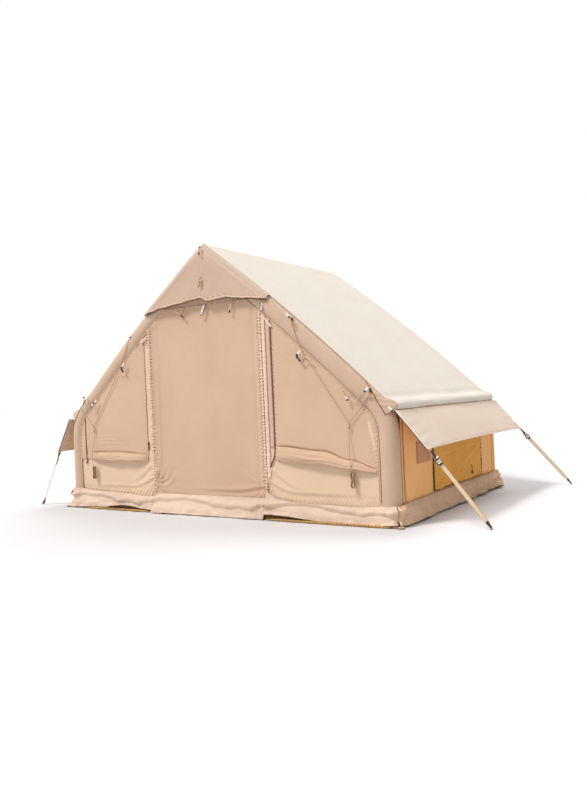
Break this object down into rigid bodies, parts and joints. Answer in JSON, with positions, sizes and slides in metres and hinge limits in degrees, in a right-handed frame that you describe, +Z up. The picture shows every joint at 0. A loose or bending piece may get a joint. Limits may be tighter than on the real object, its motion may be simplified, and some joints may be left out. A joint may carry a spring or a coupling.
{
  "type": "inflatable tent",
  "caption": "Inflatable cabin tent on air arches, with a zipped door, side awnings held out by guys, window flaps, and a tub groundsheet.",
  "frame": {"origin": "on the ground under the middle of the tent's floor", "axes": "+Z up, the door faces -Y, +X to the right of someone who looks at the door; the ridge runs along Y"},
  "size_m": [4.0614, 2.4256, 2.0646],
  "materials": {
    "front_cloth": "matte peach-tan polycotton",
    "roof_cloth": "matte pale cream polycotton",
    "flap_cloth": "matte ochre cloth",
    "insect_mesh": "fine dark insect mesh",
    "bladder_film": "milky air bladder film",
    "groundsheet": "coated golden brown tarpaulin",
    "webbing": "flat cream webbing",
    "rope": "thin brown braided cord",
    "dark_plastic": "moulded dark plastic",
    "zip_metal": "brown painted zip slider"
  },
  "bodies": {
    "tent": {"eave_beam_left": "front_cloth", "eave_beam_right": "front_cloth", "front_arch_bladder": "bladder_film", "front_arch_sleeve": "front_cloth", "front_wall_left": "front_cloth", "front_wall_right": "front_cloth", "front_window_cover_left": "front_cloth", "front_window_cover_right": "front_cloth", "front_window_screen_left": "insect_mesh", "front_window_screen_right": "insect_mesh", "gable_hood": "front_cloth", "gable_panel": "front_cloth", "groundsheet": "groundsheet", "guy_anchor_hook_left": "dark_plastic", "guy_anchor_hook_right": "dark_plastic", "guy_anchor_upper_left": "dark_plastic", "guy_anchor_upper_right": "dark_plastic", "guy_hank_left": "rope", "guy_hank_right": "rope", "guy_leg_left": "rope", "guy_leg_right": "rope", "guy_line_left": "rope", "guy_line_right": "rope", "inflation_valve": "dark_plastic", "rear_arch_bladder": "bladder_film", "rear_arch_sleeve": "front_cloth", "rear_wall": "front_cloth", "ridge_beam": "front_cloth", "roof_left": "roof_cloth", "roof_right": "roof_cloth", "side_wall_left": "front_cloth", "side_wall_right": "front_cloth", "side_window_screen_left": "insect_mesh", "side_window_screen_right": "insect_mesh", "skirt_front_left": "front_cloth", "skirt_front_right": "front_cloth", "skirt_rear": "front_cloth", "skirt_side_left": "front_cloth", "skirt_side_right": "front_cloth"},
    "door": {"door_panel": "front_cloth", "door_skirt": "front_cloth"},
    "door_zip_left": {"door_zip_slider_left": "zip_metal"},
    "door_zip_right": {"door_zip_slider_right": "zip_metal"},
    "window_zip_left": {"window_zip_slider_left": "zip_metal"},
    "window_zip_right": {"window_zip_slider_right": "zip_metal"},
    "valve_cap": {"valve_cap": "dark_plastic"},
    "awning_left": {"awning_left": "roof_cloth"},
    "guys_left": {"guy_strap_left_front": "webbing", "guy_strap_left_rear": "webbing"},
    "guy_slider_left_front": {"guy_slider_left_front": "dark_plastic"},
    "guy_slider_left_rear": {"guy_slider_left_rear": "dark_plastic"},
    "side_flap_left": {"side_window_flap_left": "flap_cloth"},
    "awning_right": {"awning_right": "roof_cloth"},
    "guys_right": {"guy_strap_right_front": "webbing", "guy_strap_right_rear": "webbing"},
    "guy_slider_right_front": {"guy_slider_right_front": "dark_plastic"},
    "guy_slider_right_rear": {"guy_slider_right_rear": "dark_plastic"},
    "side_flap_right": {"side_window_flap_right": "flap_cloth"}
  },
  "joints": [
    {"name": "door_swing", "type": "hinge", "parent": "tent", "child": "door", "pos_m": [0, -1.013, 1.6], "axis": [-1, 0, 0], "range_deg": [0, 85]},
    {"name": "door_zip_left_run", "type": "slide", "parent": "tent", "child": "door_zip_left", "axis": [0, 0, 1], "range_m": [0, 1.1]},
    {"name": "window_zip_left_run", "type": "slide", "parent": "tent", "child": "window_zip_left", "axis": [0, 0, 1], "range_m": [0, 0.7]},
    {"name": "door_zip_right_run", "type": "slide", "parent": "tent", "child": "door_zip_right", "axis": [0, 0, 1], "range_m": [0, 1.22]},
    {"name": "window_zip_right_run", "type": "slide", "parent": "tent", "child": "window_zip_right", "axis": [0, 0, 1], "range_m": [0, 0.8]},
    {"name": "awning_left_lift", "type": "hinge", "parent": "tent", "child": "awning_left", "pos_m": [-1.5524, 0, 0.755], "axis": [0, 1, 0], "range_deg": [0, 58]},
    {"name": "guys_left_drop", "type": "hinge", "parent": "awning_left", "child": "guys_left", "pos_m": [-1.7171, 0, 0.46973], "axis": [0, -1, 0], "range_deg": [0, 84.1]},
    {"name": "guy_slider_left_front_run", "type": "slide", "parent": "guys_left", "child": "guy_slider_left_front", "axis": [-0.4491, -0.0308, -0.893], "range_m": [0, 0.2]},
    {"name": "guy_slider_left_rear_run", "type": "slide", "parent": "guys_left", "child": "guy_slider_left_rear", "axis": [-0.3902, 0.4959, -0.7758], "range_m": [0, 0.2]},
    {"name": "side_flap_left_lift", "type": "hinge", "parent": "tent", "child": "side_flap_left", "pos_m": [-1.5524, -0.43, 0.565], "axis": [0, 1, 0], "range_deg": [0, 45]},
    {"name": "awning_right_lift", "type": "hinge", "parent": "tent", "child": "awning_right", "pos_m": [1.5524, 0, 0.755], "axis": [0, -1, 0], "range_deg": [0, 48]},
    {"name": "guys_right_drop", "type": "hinge", "parent": "awning_right", "child": "guys_right", "pos_m": [1.76545, 0, 0.50378], "axis": [0, 1, 0], "range_deg": [0, 76.8]},
    {"name": "guy_slider_right_front_run", "type": "slide", "parent": "guys_right", "child": "guy_slider_right_front", "axis": [0.5467, 0.2026, -0.8124], "range_m": [0, 0.2]},
    {"name": "guy_slider_right_rear_run", "type": "slide", "parent": "guys_right", "child": "guy_slider_right_rear", "axis": [0.5005, 0.4429, -0.7439], "range_m": [0, 0.2]},
    {"name": "side_flap_right_lift", "type": "hinge", "parent": "tent", "child": "side_flap_right", "pos_m": [1.5524, -0.43, 0.565], "axis": [0, -1, 0], "range_deg": [0, 45]},
    {"name": "valve_cap_lift", "type": "hinge", "parent": "tent", "child": "valve_cap", "pos_m": [1.4706, 1.0429, 0.479], "axis": [1, 0, 0], "range_deg": [0, 110]}
  ],
  "couplings": [
    {"joint": "guys_left_drop", "follows": "awning_left_lift", "ratio": 1.45},
    {"joint": "guys_right_drop", "follows": "awning_right_lift", "ratio": 1.6}
  ]
}
